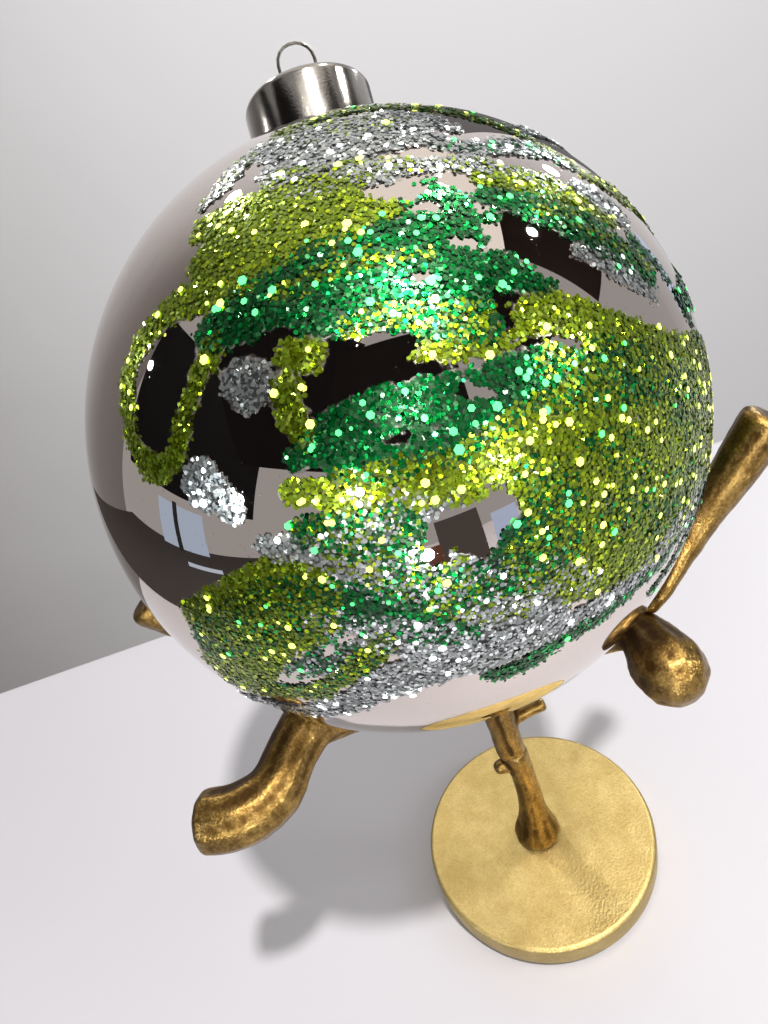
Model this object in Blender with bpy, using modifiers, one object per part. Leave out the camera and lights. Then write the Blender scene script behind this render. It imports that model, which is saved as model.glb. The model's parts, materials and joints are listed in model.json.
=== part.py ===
import bpy
import bmesh
from math import acos, asin, cos, degrees, radians, sin, sqrt
from mathutils import Matrix, Vector

# A glass ball ornament with bands of glitter, resting in the arms of a cast twig stand.
# The frame's origin is the middle of the felt pad's underside, +Z is up and -Y is the front.
# Every value below is in millimetres or degrees and becomes metres through MM.

MM = 0.001
GAP = 0.3                    # clearance between pieces that touch

# base
BASE_RADIUS = 37.7
BASE_THICKNESS = 9.0
BASE_EDGE = 1.4              # rounding of the disc's rims
PAD_INSET = 1.3              # pad short of the disc's side
PAD_THICKNESS = 1.0
BOLT_RADIUS = 2.5
BOLT_CLEARANCE = 0.4         # hole round the bolt
BOLT_HEAD_STEP = 2.0         # head wider than the shank
BOLT_HEAD_HEIGHT = 3.0
BOLT_HEAD_CHAMFER = 0.3
BOLT_TIP_CHAMFER = 0.4
BOLT_SOCKET_SHARE = 0.51     # hexagon socket's half width as a share of the head's
BOLT_SOCKET_DEPTH = 1.8
BOLT_GRIP = 9.0              # length of the bolt inside the stem
BOLT_TIP_ROOM = 1.0          # hole beyond the bolt's tip
WASHER_STEP = 1.5            # washer wider than the head
WASHER_THICKNESS = 0.8
COUNTERBORE_ROOM = 0.8       # counterbore wider than the washer

# stem
FOOT_RADIUS = 7.8
STEM_RADIUS = 3.8
CROWN_HEIGHT = 101.1         # middle of the crown above the table
CROWN_RADIUS = 9.0
CROWN_X = -4.6
SEAM_SHARE = 0.50            # where the stem's two castings meet, as a share of its height
TWIG_SHARE = 0.67            # where the side twig leaves the stem

# globe
GLOBE_RADIUS = 60.0
GLASS_THICKNESS = 0.8
COAT_BED = 0.1717            # glue between the glass and the glitter crust
COAT_THICKNESS = 0.5
COAT_FACET = 10.0            # widest facet of a crust, as an angle at the globe's middle
GLOBE_X = -5.8
SEAT_STANDOFF = 1.3          # crown below the glitter at the lowest point
AXIS_TILT = 33.3             # of the neck's axis from the vertical
AXIS_HEADING = 82.0          # the way the neck leans, turned from +X
NECK_RADIUS = 11.0
NECK_RISE = 10.5             # neck above the sphere's surface at the neck

# cap and hanger
CAP_SIDE_ROOM = 1.7          # inside of the cap round the neck
CAP_THICKNESS = 0.6
CAP_SHOULDER = 1.6
CAP_ROOM = 1.2               # inside of the cap above the neck's rim
WIRE_RADIUS = 0.35
LOOP_RADIUS = 3.85
LOOP_LEG = 8.5               # straight legs above the cap before the arch
LEG_IN_NECK = 7.0
LEG_SPREAD = 2.6
LEG_REACH = 5.0
HOLE_ROOM = 0.35             # clearance of the cap's holes round the wire

PAD_RADIUS = BASE_RADIUS - PAD_INSET
BOLT_HOLE_RADIUS = BOLT_RADIUS + BOLT_CLEARANCE
BOLT_HEAD_RADIUS = BOLT_RADIUS + BOLT_HEAD_STEP
BOLT_SOCKET_RADIUS = BOLT_HEAD_RADIUS * BOLT_SOCKET_SHARE
WASHER_RADIUS = BOLT_HEAD_RADIUS + WASHER_STEP
COUNTERBORE_RADIUS = WASHER_RADIUS + COUNTERBORE_ROOM
CAP_RADIUS = NECK_RADIUS + CAP_SIDE_ROOM + CAP_THICKNESS

PAD_GAP_TOP = PAD_THICKNESS + GAP
BASE_TOP = PAD_GAP_TOP + BASE_THICKNESS
STEM_BOTTOM = BASE_TOP + GAP
STEM_HEIGHT = CROWN_HEIGHT - STEM_BOTTOM
COAT_SAG = GLOBE_RADIUS * (1 - cos(radians(COAT_FACET / 2)))
COAT_HEIGHT = COAT_BED + COAT_SAG + COAT_THICKNESS
SEAT_RADIUS = GLOBE_RADIUS + COAT_HEIGHT + GAP
GLOBE_Z = CROWN_HEIGHT + CROWN_RADIUS + SEAT_STANDOFF + SEAT_RADIUS
GLOBE_CENTRE = Vector((GLOBE_X, 0, GLOBE_Z))
CROWN_CENTRE = Vector((CROWN_X, 0, CROWN_HEIGHT))
NECK_BASE = sqrt(GLOBE_RADIUS ** 2 - NECK_RADIUS ** 2)
NECK_TOP = NECK_BASE + NECK_RISE
CAP_TOP = NECK_TOP + CAP_ROOM + CAP_THICKNESS

POLAR_AXIS = Vector((
    sin(radians(AXIS_TILT)) * cos(radians(AXIS_HEADING)),
    sin(radians(AXIS_TILT)) * sin(radians(AXIS_HEADING)),
    cos(radians(AXIS_TILT)),
))


for old in list(bpy.data.objects):
    bpy.data.objects.remove(old, do_unlink=True)

parts = bpy.data.collections.new("glass_ornament_on_twig_stand")
cutters = bpy.data.collections.new("cutters")
bpy.context.scene.collection.children.link(parts)
bpy.context.scene.collection.children.link(cutters)


def material(name, colour, roughness, metallic):
    made = bpy.data.materials.new(name)
    made.use_nodes = True
    shader = made.node_tree.nodes["Principled BSDF"]
    shader.inputs["Base Color"].default_value = (*colour, 1)
    shader.inputs["Roughness"].default_value = roughness
    shader.inputs["Metallic"].default_value = metallic
    return made


def finish(obj, made):
    obj.data.materials.clear()
    obj.data.materials.append(made)
    return obj


def place(name, mesh, collection=parts):
    obj = bpy.data.objects.new(name, mesh)
    collection.objects.link(obj)
    if collection is cutters:
        obj.hide_render = True
        obj.display_type = "WIRE"
    return obj


def smoothed(obj, angle=35):
    obj.data.shade_smooth()
    obj.data.set_sharp_from_angle(angle=radians(angle))
    return obj


def arc(centre, radius, start, end, count):
    """Points of an arc in the profile's plane, as (distance from the axis, height)."""
    turns = [radians(start + (end - start) * i / count) for i in range(count + 1)]
    return [(centre[0] + radius * cos(t), centre[1] + radius * sin(t)) for t in turns]


def turned(name, profile, steps, closed=False, collection=parts):
    """A profile of (radius, height) points turned once about the object's Z axis."""
    mesh = bpy.data.meshes.new(name)
    edges = [(i, i + 1) for i in range(len(profile) - 1)]
    if closed:
        edges.append((len(profile) - 1, 0))
    mesh.from_pydata([(r * MM, 0, z * MM) for r, z in profile], edges, [])
    obj = place(name, mesh, collection)
    screw = obj.modifiers.new("turn", "SCREW")
    screw.steps = steps
    screw.render_steps = steps
    screw.use_merge_vertices = True
    screw.merge_threshold = 0.00001
    return obj


def cylinder(name, radius, bottom, top, sides=32, collection=cutters):
    made = bmesh.new()
    bmesh.ops.create_cone(made, cap_ends=True, segments=sides, radius1=radius * MM,
                          radius2=radius * MM, depth=(top - bottom) * MM)
    bmesh.ops.translate(made, verts=made.verts, vec=(0, 0, (top + bottom) / 2 * MM))
    mesh = bpy.data.meshes.new(name)
    made.to_mesh(mesh)
    made.free()
    return place(name, mesh, collection)


def combine(obj, other, operation="DIFFERENCE"):
    change = obj.modifiers.new(other.name, "BOOLEAN")
    change.operation = operation
    change.solver = "EXACT"
    change.object = other


LIMB_STEPS = 3               # rings of a branch between two stations


def through(points, counts):
    """Points of a smooth curve through the given stations, with a count of steps for each."""
    ends = [points[0]] + list(points) + [points[-1]]
    smooth_points = []
    for i, count in enumerate(counts):
        before, here, there, after = ends[i:i + 4]
        for step in range(count):
            t = step / count
            smooth_points.append(tuple(
                0.5 * (2 * b + (c - a) * t + (2 * a - 5 * b + 4 * c - d) * t ** 2
                       + (3 * b - a - 3 * c + d) * t ** 3)
                for a, b, c, d in zip(before, here, there, after)))
    smooth_points.append(tuple(points[-1]))
    return smooth_points


def tube(name, points, resolution, collection):
    """A tube through (x, y, z, half thickness) points, as one closed mesh."""
    curve = bpy.data.curves.new(name, "CURVE")
    curve.dimensions = "3D"
    curve.bevel_depth = MM
    curve.bevel_resolution = resolution
    curve.use_fill_caps = True
    spline = curve.splines.new("POLY")
    spline.points.add(len(points) - 1)
    for point, (x, y, z, thickness) in zip(spline.points, points):
        point.co = (x * MM, y * MM, z * MM, 1)
        point.radius = thickness
    route = place(name + "_route", curve, collection)
    bpy.context.view_layer.update()
    depsgraph = bpy.context.evaluated_depsgraph_get()
    mesh = bpy.data.meshes.new_from_object(route.evaluated_get(depsgraph))
    closing = bmesh.new()
    closing.from_mesh(mesh)
    bmesh.ops.remove_doubles(closing, verts=closing.verts, dist=0.00001)
    bmesh.ops.recalc_face_normals(closing, faces=closing.faces)
    closing.to_mesh(mesh)
    closing.free()
    obj = place(name, mesh, collection)
    obj.matrix_world = route.matrix_world
    bpy.data.objects.remove(route, do_unlink=True)
    return obj


def rounded_end(points, roundness):
    """The points with a softened end: the last stretch narrows like a quarter circle."""
    last = Vector(points[-1][:3])
    heading = (last - Vector(points[-2][:3])).normalized()
    thickness = points[-1][3]
    added = []
    for turn in (30, 58, 80):
        reach = last + heading * thickness * roundness * sin(radians(turn))
        added.append((*reach, thickness * (1 - roundness + roundness * cos(radians(turn)))))
    return points + added


def limb(name, stations, grow=0.0, collection=parts, roundness=0.5):
    """A branch through hand-placed stations, grown all round where it is used as a cutter."""
    points = through(stations, [LIMB_STEPS] * (len(stations) - 1))
    points = rounded_end(points, roundness)
    if grow:
        tip = Vector(points[-1][:3])
        heading = (tip - Vector(points[-2][:3])).normalized()
        points = [(x, y, z, r + grow) for x, y, z, r in points]
        points.append((*(tip + heading * grow), points[-1][3]))
    return smoothed(tube(name, points, 3, collection))


def by_globe(heading, rise, standoff, thickness):
    """A station beside the globe: its heading, its angle up from straight below, and how far
    its surface stands off from the glitter."""
    reach = SEAT_RADIUS + standoff + thickness
    across = reach * sin(radians(rise))
    return (GLOBE_X + across * cos(radians(heading)), across * sin(radians(heading)),
            GLOBE_Z - reach * cos(radians(rise)), thickness)


def on_stem(share, x, y, thickness):
    """A station of the stem at a share of its height, with its offset from the straight line
    between the foot and the crown."""
    return (CROWN_X * share + x, y, STEM_BOTTOM + STEM_HEIGHT * share, thickness)


pale_gold = material("pale_gold", (0.64, 0.51, 0.21), 0.38, 1)
cast_gold = material("cast_gold", (0.50, 0.34, 0.11), 0.36, 1)
felt = material("dark_felt", (0.03, 0.03, 0.03), 0.95, 0)
steel = material("zinc_steel", (0.55, 0.55, 0.56), 0.35, 1)
silvered = material("silvered_glass", (0.86, 0.83, 0.80), 0.03, 1)
nickel = material("polished_nickel", (0.62, 0.60, 0.57), 0.12, 1)
lime = material("lime_glitter", (0.35, 0.50, 0.04), 0.4, 0.6)
emerald = material("emerald_glitter", (0.0, 0.26, 0.08), 0.4, 0.6)
silver = material("silver_glitter", (0.66, 0.69, 0.68), 0.35, 0.8)


# Base: a disc with softened rims, counterbored from below for the bolt that holds the stem.
def build_base():
    pad = turned("felt_pad", [(0, PAD_THICKNESS), (PAD_RADIUS, PAD_THICKNESS), (PAD_RADIUS, 0),
                              (0, 0)], 48)
    finish(pad, felt)

    outer = BASE_RADIUS - BASE_EDGE
    profile = [(0, BASE_TOP)]
    profile += arc((outer, BASE_TOP - BASE_EDGE), BASE_EDGE, 90, 0, 4)
    profile += arc((outer, PAD_GAP_TOP + BASE_EDGE), BASE_EDGE, 0, -90, 3)
    profile += [(0, PAD_GAP_TOP)]
    disc = turned("base_disc", profile, 56)
    counterbore_top = PAD_GAP_TOP + BOLT_HEAD_HEIGHT + WASHER_THICKNESS + 3 * GAP
    combine(disc, cylinder("counterbore", COUNTERBORE_RADIUS, -5, counterbore_top))
    combine(disc, cylinder("bolt_way", BOLT_HOLE_RADIUS, 0, BASE_TOP + 5, 24))
    finish(disc, pale_gold)
    smoothed(disc)

    washer_top = counterbore_top - GAP
    washer_bottom = washer_top - WASHER_THICKNESS
    washer = turned("base_washer", [
        (BOLT_HOLE_RADIUS, washer_top), (WASHER_RADIUS, washer_top),
        (WASHER_RADIUS, washer_bottom), (BOLT_HOLE_RADIUS, washer_bottom)], 24, closed=True)
    finish(washer, steel)

    head_top = washer_bottom - GAP
    head_bottom = head_top - BOLT_HEAD_HEIGHT
    tip = STEM_BOTTOM + BOLT_GRIP
    bolt = turned("base_bolt", [
        (0, tip), (BOLT_RADIUS - BOLT_TIP_CHAMFER, tip),
        (BOLT_RADIUS, tip - BOLT_TIP_CHAMFER), (BOLT_RADIUS, head_top),
        (BOLT_HEAD_RADIUS, head_top), (BOLT_HEAD_RADIUS, head_bottom + BOLT_HEAD_CHAMFER),
        (BOLT_HEAD_RADIUS - BOLT_HEAD_CHAMFER, head_bottom), (0, head_bottom)], 24)
    combine(bolt, cylinder("socket", BOLT_SOCKET_RADIUS, head_bottom - 1,
                           head_bottom + BOLT_SOCKET_DEPTH, 6))
    finish(bolt, steel)


# Stem: two castings that meet in a seam, then the crown that carries the arms.
LOWER_STEM = (
    (-0.04, 0.0, 0, FOOT_RADIUS),
    (0.02, 0.1, 0, FOOT_RADIUS - 0.3),
    (0.09, 0.8, 0, STEM_RADIUS + 1.7),
    (0.19, 1.5, 0, STEM_RADIUS + 0.3),
    (0.32, 2.1, 0.3, STEM_RADIUS - 0.1),
    (0.42, 2.1, 0.2, STEM_RADIUS + 0.1),
    (SEAM_SHARE, 1.9, 0, STEM_RADIUS + 0.2),
)
UPPER_STEM = (
    (SEAM_SHARE - 0.06, 2.0, 0, STEM_RADIUS - 0.8),
    (SEAM_SHARE + 0.03, 2.2, 0, STEM_RADIUS - 0.3),
    (0.62, 2.3, -0.2, STEM_RADIUS - 0.3),
    (TWIG_SHARE + 0.03, 2.6, 0, STEM_RADIUS),
    (0.80, 2.2, 0, STEM_RADIUS + 0.3),
    (0.90, 1.0, 0, STEM_RADIUS + 1.0),
    (1.00, 0.0, 0, STEM_RADIUS + 1.8),
)
STUB = (
    (SEAM_SHARE - 0.06, 1.2, 0, 2.6),
    (SEAM_SHARE - 0.045, -2.4, -0.5, 2.3),
    (SEAM_SHARE - 0.04, -4.4, -0.9, 2.0),
)
SECOND_STRAND = (
    (SEAM_SHARE + 0.02, -0.6, -1.4, 2.1),
    (SEAM_SHARE + 0.07, -0.6, -1.3, 2.3),
    (SEAM_SHARE + 0.16, -0.2, -0.9, 2.4),
    (SEAM_SHARE + 0.30, -0.4, -0.8, 2.8),
    (SEAM_SHARE + 0.42, 0.0, -0.4, 3.4),
)
SIDE_TWIG = (
    (TWIG_SHARE, 2.4, 0, 2.6),
    (TWIG_SHARE + 0.005, 7.0, 0, 2.0),
    (TWIG_SHARE + 0.015, 11.0, 0, 1.8),
    (TWIG_SHARE + 0.02, 14.2, 0, 2.1),
)


def stem_limb(name, stations, collection=parts, grow=0.0):
    return limb(name, [on_stem(*station) for station in stations], grow, collection)


def build_stem():
    lower = stem_limb("lower_trunk", LOWER_STEM)
    combine(lower, stem_limb("stub", STUB, cutters), "UNION")
    combine(lower, cylinder("foot_face", BASE_RADIUS, STEM_BOTTOM - 9, STEM_BOTTOM))
    combine(lower, cylinder("bolt_hole", BOLT_HOLE_RADIUS, STEM_BOTTOM - 5,
                            STEM_BOTTOM + BOLT_GRIP + BOLT_TIP_ROOM, 24))
    finish(lower, cast_gold)

    upper = stem_limb("upper_trunk", UPPER_STEM)
    combine(upper, stem_limb("second_strand", SECOND_STRAND, cutters), "UNION")
    combine(upper, stem_limb("side_twig", SIDE_TWIG, cutters), "UNION")
    combine(upper, stem_limb("lower_trunk_room", LOWER_STEM, cutters, GAP))
    combine(upper, stem_limb("stub_room", STUB, cutters, GAP))
    combine(upper, crown_ball("crown_room_stem", GAP, cutters))
    finish(upper, cast_gold)

    finish(crown_ball("crown"), cast_gold)


def crown_ball(name, grow=0.0, collection=parts):
    made = bmesh.new()
    bmesh.ops.create_uvsphere(made, u_segments=20, v_segments=12, radius=(CROWN_RADIUS + grow) * MM)
    mesh = bpy.data.meshes.new(name)
    made.to_mesh(mesh)
    made.free()
    obj = place(name, mesh, collection)
    obj.location = CROWN_CENTRE * MM
    return obj


# Arms: each grows from the crown, passes below the globe and ends beside it. A station holds
# its heading, its angle up from straight below the globe, its stand-off and its half thickness.
ARMS = {
    "arm_front_left": (
        (203, 13, 3.2, 4.4), (204, 25, 1.4, 5.6), (205, 34, 0.2, 6.2), (206.5, 40, 1.0, 6.3),
        (209, 43.5, 6.6, 6.0), (212.5, 47, 13.8, 6.4), (211, 50.5, 19.6, 6.9), (208, 52.7, 23.4, 6.9)),
    "arm_right": (
        (322, 13, 3.0, 3.9), (325, 26, 1.2, 4.4), (325.5, 34, 0.4, 4.9), (325, 39.5, 2.0, 5.0),
        (321, 42.3, 3.8, 6.0), (316, 44.6, 5.0, 7.4), (314, 45.6, 6.0, 7.7)),
    "arm_left": (
        (140, 13, 3.0, 3.6), (150, 24, 1.0, 4.0), (163, 36, 0.2, 4.4), (172, 47, 0.0, 4.5),
        (177, 57, 0.8, 4.3), (178.5, 66, 3.0, 4.1), (178.5, 71.5, 4.2, 4.4)),
    "arm_rear": (
        (68, 13, 3.0, 3.8), (72, 28, 0.6, 4.6), (76, 44, 0.0, 4.8), (80, 58, 1.5, 4.0),
        (82, 70, 5.5, 4.6)),
}
SPIKE = (
    (325, 40.5, 3.4, 2.8), (328, 45, 4.0, 1.9), (330, 49.5, 4.5, 1.5), (340, 54, 5.1, 2.7),
    (345, 59, 5.8, 3.7), (347.5, 64, 7.0, 4.5), (350, 71, 9.8, 5.2), (350.5, 75, 11.6, 5.4))
CUT_END = 0.35               # how far an arm's cut end is rounded
BULB_END = 1.0


def arm_limb(name, grow=0.0, collection=parts):
    stations = [(*CROWN_CENTRE, ARMS[name][0][3])]
    stations += [by_globe(*station) for station in ARMS[name]]
    roundness = BULB_END if name == "arm_right" else CUT_END
    return limb(name if not grow else name + "_room", stations, grow, collection, roundness)


def build_arms():
    for name in ARMS:
        arm = arm_limb(name)
        combine(arm, crown_ball("crown_room_" + name, GAP, cutters))
        finish(arm, cast_gold)
    spike = limb("arm_spike", [by_globe(*station) for station in SPIKE], roundness=CUT_END)
    combine(spike, arm_limb("arm_right", GAP, cutters))
    finish(spike, cast_gold)


# Ornament: everything below is made round its own Z axis with the globe's centre at the
# origin, then hung on one empty that tilts it into place.
def build_ornament():
    seat = bpy.data.objects.new("ornament_seat", None)
    parts.objects.link(seat)
    across = Vector((0, 1, 0)).cross(POLAR_AXIS).normalized()
    deep = POLAR_AXIS.cross(across)
    seat.matrix_world = Matrix.Translation(GLOBE_CENTRE * MM) @ Matrix((
        across, deep, POLAR_AXIS)).transposed().to_4x4()
    for piece in [globe(), cap(), hanger()] + wire_holes() + [coat(*band) for band in BANDS]:
        piece.parent = seat


def globe():
    inner = GLOBE_RADIUS - GLASS_THICKNESS
    bore = NECK_RADIUS - GLASS_THICKNESS
    outer_start = 90 - degrees(acos(NECK_BASE / GLOBE_RADIUS))
    inner_start = 90 - degrees(asin(bore / inner))
    profile = arc((0, 0), inner, -90, inner_start, 14)
    profile += [(bore, NECK_TOP), (NECK_RADIUS, NECK_TOP)]
    profile += arc((0, 0), GLOBE_RADIUS, outer_start, -90, 20)
    profile[0] = (0, profile[0][1])
    profile[-1] = (0, profile[-1][1])
    shell = turned("glass_globe", profile, 40)
    smoothed(shell)
    return finish(shell, silvered)


def cap():
    rim = sqrt((GLOBE_RADIUS + COAT_HEIGHT) ** 2 - CAP_RADIUS ** 2) + GAP
    wall = CAP_RADIUS - CAP_THICKNESS
    shoulder = CAP_SHOULDER - CAP_THICKNESS
    profile = [(0, CAP_TOP)]
    profile += arc((CAP_RADIUS - CAP_SHOULDER, CAP_TOP - CAP_SHOULDER), CAP_SHOULDER, 90, 0, 5)
    profile += [(CAP_RADIUS, rim), (wall, rim)]
    profile += arc((CAP_RADIUS - CAP_SHOULDER, CAP_TOP - CAP_SHOULDER), shoulder, 0, 90, 3)
    profile += [(0, CAP_TOP - CAP_THICKNESS)]
    cup = turned("ornament_cap", profile, 40)
    for hole in wire_holes():
        combine(cup, hole)
    smoothed(cup)
    return finish(cup, nickel)


def wire_holes():
    """The two cutters that open the cap round the hanger's legs."""
    holes = []
    for side, name in ((-1, "wire_hole_left"), (1, "wire_hole_right")):
        hole = bpy.data.objects.get(name)
        if hole is None:
            hole = cylinder(name, WIRE_RADIUS + HOLE_ROOM, CAP_TOP - 4, CAP_TOP + 4, 12)
            hole.location = (side * LOOP_RADIUS * MM, 0, 0)
        holes.append(hole)
    return holes


def hanger():
    top = CAP_TOP + LOOP_LEG
    low = CAP_TOP - LEG_IN_NECK
    arch = [(LOOP_RADIUS * cos(radians(t)), top + LOOP_RADIUS * sin(radians(t)))
            for t in range(0, 181, 20)]
    leg = [(LOOP_RADIUS + LEG_SPREAD, low - LEG_REACH), (LOOP_RADIUS + LEG_SPREAD / 2, low - LEG_REACH / 2),
           (LOOP_RADIUS, low), (LOOP_RADIUS, CAP_TOP)]
    route = leg + arch + [(-x, z) for x, z in leg[::-1]]
    wire = tube("hanger", [(x, 0, z, WIRE_RADIUS) for x, z in route], 2, parts)
    smoothed(wire)
    return finish(wire, nickel)


# Glitter: each coat is a ribbon laid on the sphere along (longitude, latitude, half width)
# stations in degrees, with longitude 0 at the front and the neck at latitude 90.
BANDS = (
    ("coat_silver_top", silver, (
        (-30, 44, 1), (-20, 46, 5), (0, 49, 7), (20, 45, 6), (45, 40, 5), (75, 46, 6), (110, 52, 5),
        (150, 48, 6), (190, 50, 5), (225, 46, 1))),
    ("coat_lime_high", lime, (
        (-48, 8, 1), (-42, 16, 5), (-32, 26, 8), (-14, 30, 8), (8, 31, 3), (26, 29, 5), (44, 25, 6),
        (70, 27, 6), (105, 32, 7), (150, 28, 6), (185, 30, 1))),
    ("coat_emerald", emerald, (
        (-32, 10, 1), (-20, 14, 4), (0, 18, 6), (20, 18, 4), (38, 15, 3), (60, 12, 5), (95, 14, 6),
        (130, 10, 5), (175, 12, 6), (215, 8, 1))),
    ("coat_lime_low", lime, (
        (-28, -8, 1), (-14, -6, 8), (0, -4, 11), (20, -5, 12), (40, -10, 14), (65, -12, 11),
        (100, -8, 9), (140, -12, 8), (185, -8, 9), (230, -12, 1))),
    ("coat_silver_low", silver, (
        (-52, -34, 1), (-35, -36, 6), (-12, -33, 8), (12, -36, 7), (34, -36, 5), (60, -33, 6),
        (100, -34, 8), (145, -36, 7), (190, -33, 6), (225, -35, 1))),
)
BAND_STEP = 6                # degrees between two rows of a ribbon
BAND_ROWS = 3


def on_sphere(radius, longitude, latitude):
    around = radians(longitude)
    up = radians(latitude)
    return Vector((radius * cos(up) * sin(around), -radius * cos(up) * cos(around), radius * sin(up)))


def coat(name, made, stations):
    counts = []
    for here, there in zip(stations, stations[1:]):
        along, up, wider = (abs(end - start) for start, end in zip(here, there))
        counts.append(max(1, round(max(along, up + wider) / BAND_STEP)))
    line = through(stations, counts)
    low = GLOBE_RADIUS + COAT_BED + COAT_SAG
    ribbon = bmesh.new()
    rows = []
    for longitude, latitude, half_width in line:
        half_width = max(half_width, 0.6)
        rows.append([ribbon.verts.new(on_sphere(low, longitude, latitude + half_width
                                                * (2 * i / BAND_ROWS - 1)) * MM)
                     for i in range(BAND_ROWS + 1)])
    for here, there in zip(rows, rows[1:]):
        for i in range(BAND_ROWS):
            ribbon.faces.new((here[i], there[i], there[i + 1], here[i + 1]))
    mesh = bpy.data.meshes.new(name)
    ribbon.to_mesh(mesh)
    ribbon.free()
    obj = place(name, mesh)
    crust = obj.modifiers.new("crust", "SOLIDIFY")
    crust.thickness = COAT_THICKNESS * MM
    crust.offset = 1
    smoothed(obj)
    return finish(obj, made)


build_base()
build_stem()
build_arms()
build_ornament()
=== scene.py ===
import json
from math import cos, pi, radians, sin

import bpy
import numpy as np
from mathutils import Matrix, Vector, noise


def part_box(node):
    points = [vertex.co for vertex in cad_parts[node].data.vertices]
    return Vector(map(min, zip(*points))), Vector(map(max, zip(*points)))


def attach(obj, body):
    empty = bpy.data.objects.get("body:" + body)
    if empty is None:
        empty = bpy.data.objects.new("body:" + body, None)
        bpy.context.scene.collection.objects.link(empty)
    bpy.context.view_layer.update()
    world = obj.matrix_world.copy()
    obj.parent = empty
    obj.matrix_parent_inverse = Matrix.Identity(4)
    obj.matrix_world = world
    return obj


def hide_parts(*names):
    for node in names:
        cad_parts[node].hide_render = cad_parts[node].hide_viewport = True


# A mirrored glass ball with hand-laid glitter, resting in a cast gold twig stand.
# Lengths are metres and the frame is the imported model's, with the front towards -Y.

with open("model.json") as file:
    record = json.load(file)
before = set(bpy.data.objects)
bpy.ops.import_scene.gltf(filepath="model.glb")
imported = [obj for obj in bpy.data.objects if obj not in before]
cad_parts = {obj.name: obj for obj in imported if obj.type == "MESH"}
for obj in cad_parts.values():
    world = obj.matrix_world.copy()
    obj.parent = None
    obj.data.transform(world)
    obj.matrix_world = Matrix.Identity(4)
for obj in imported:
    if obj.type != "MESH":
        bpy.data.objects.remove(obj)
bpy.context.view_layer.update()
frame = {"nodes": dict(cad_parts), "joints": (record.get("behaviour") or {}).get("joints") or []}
mm = 0.001
print("frame loaded")

# camera

cameraFacts = {
    "at": (-0.0135, -0.12985, 0.24294),
    "down": 34.18,       # degrees below the horizon
    "roll": -19.335,
    "lens": 24.61,       # on a 36 mm sensor
}


def buildCamera(facts):
    down, roll = radians(facts["down"]), radians(facts["roll"])
    side = Vector((1, 0, 0))
    ahead = Vector((0, cos(down), -sin(down)))
    up = Vector((0, sin(down), cos(down)))
    turned = Matrix((side * cos(roll) + up * sin(roll), up * cos(roll) - side * sin(roll), -ahead))
    data = bpy.data.cameras.new("camera")
    data.lens = facts["lens"]
    data.sensor_width = 36
    data.clip_start = 0.005
    made = bpy.data.objects.new("camera", data)
    bpy.context.scene.collection.objects.link(made)
    made.matrix_world = Matrix.Translation(facts["at"]) @ turned.transposed().to_4x4()
    bpy.context.scene.camera = made


buildCamera(cameraFacts)

# shader wiring


class Wire:
    # an output of a node that can be added, multiplied and so on like a number
    def __init__(self, finish, socket):
        self.finish = finish
        self.socket = socket

    def sum(self, kind, first, second):
        return self.finish.node("ShaderNodeMath", {0: first, 1: second}, operation=kind)

    def __add__(self, other):
        return self.sum("ADD", self, other)

    def __radd__(self, other):
        return self.sum("ADD", other, self)

    def __sub__(self, other):
        return self.sum("SUBTRACT", self, other)

    def __rsub__(self, other):
        return self.sum("SUBTRACT", other, self)

    def __mul__(self, other):
        return self.sum("MULTIPLY", self, other)

    def __rmul__(self, other):
        return self.sum("MULTIPLY", other, self)

    def between(self, low, high):
        # 0 below low, 1 above high and a soft step from one to the other
        return self.finish.node("ShaderNodeMapRange", {"Value": self, "From Min": low, "From Max": high},
                                interpolation_type="SMOOTHSTEP")


class Finish:
    # one material and the few ways its nodes are made
    def __init__(self, name, **constants):
        self.material = bpy.data.materials.new(name)
        self.material.use_nodes = True
        self.tree = self.material.node_tree
        self.shader = self.tree.nodes["Principled BSDF"]
        for label, value in constants.items():
            self.shader.inputs[label.replace("_", " ")].default_value = value

    def node(self, kind, inputs=None, out=0, **settings):
        made = self.tree.nodes.new(kind)
        for label, value in settings.items():
            setattr(made, label, value)
        for label, value in (inputs or {}).items():
            if isinstance(value, Wire):
                self.tree.links.new(value.socket, made.inputs[label])
            else:
                made.inputs[label].default_value = value
        return Wire(self, made.outputs[out])

    def place(self, stretch=(1, 1, 1), turn=(0, 0, 0)):
        here = self.node("ShaderNodeTexCoord", out="Object")
        return self.node("ShaderNodeMapping", {"Vector": here, "Scale": stretch, "Rotation": turn})

    def cloud(self, scale, detail=2, rough=0.5, at=None):
        return self.node("ShaderNodeTexNoise", {
            "Vector": at or self.place(), "Scale": scale, "Detail": detail, "Roughness": rough})

    def cells(self, scale, out="Distance"):
        return self.node("ShaderNodeTexVoronoi", {"Vector": self.place(), "Scale": scale}, out)

    def mix(self, share, first, second):
        made = self.tree.nodes.new("ShaderNodeMix")
        made.data_type = "RGBA"
        for label, value in (("Factor_Float", share), ("A_Color", first), ("B_Color", second)):
            socket = next(s for s in made.inputs if s.identifier == label)
            if isinstance(value, Wire):
                self.tree.links.new(value.socket, socket)
            else:
                socket.default_value = value if label == "Factor_Float" else (*value, 1)
        return Wire(self, next(s for s in made.outputs if s.identifier == "Result_Color"))

    def painted(self, name, out="Fac"):
        return self.node("ShaderNodeAttribute", out=out, attribute_name=name)

    def bump(self, height, depth, strength):
        self.feed("Normal", self.node("ShaderNodeBump", {
            "Height": height, "Distance": depth, "Strength": strength}))

    def feed(self, label, value):
        self.tree.links.new(value.socket, self.shader.inputs[label])


# castings: brown-gold, dark in the hollows, with painted shade on the side facing up, left and back, and
# polished where hands rub
castColours = {
    "dark": (0.032, 0.015, 0.005),
    "middle": (0.125, 0.072, 0.018),
    "bright": (0.36, 0.235, 0.075),
}


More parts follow.
